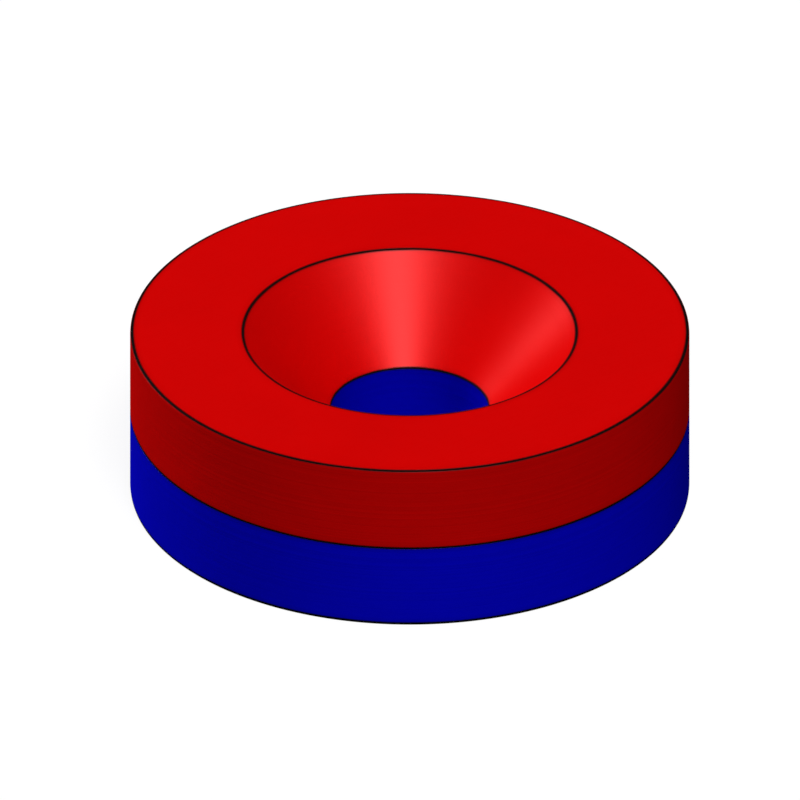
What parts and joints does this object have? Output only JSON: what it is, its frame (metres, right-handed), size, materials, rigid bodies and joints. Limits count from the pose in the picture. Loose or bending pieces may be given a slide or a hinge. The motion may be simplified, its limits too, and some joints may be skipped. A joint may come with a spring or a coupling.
{
  "type": "countersunk ring magnet",
  "caption": "Flat ring magnet with a countersunk screw hole through its middle, red on the working pole and blue on the back pole, screwed down to hold a steel plate or another magnet.",
  "frame": {"origin": "centre of the back face, on the axis of the bore; the ring rests on this face", "axes": "+Z along the bore's axis, from the blue back face to the red countersunk face; X and Y lie in the back face, and the ring is the same all round them"},
  "size_m": [0.016, 0.016, 0.0051],
  "materials": {
    "red_lacquer": "satin red lacquer over a black epoxy base coat, on the upper half of the ring and in the countersink",
    "blue_lacquer": "satin blue lacquer over a black epoxy base coat, on the lower half of the ring and in the bore",
    "base_coat": "black epoxy base coat, which shows as a hairline along each edge and between the two colours"
  },
  "bodies": {
    "root": {"magnet": "red_lacquer"}
  },
  "joints": []
}
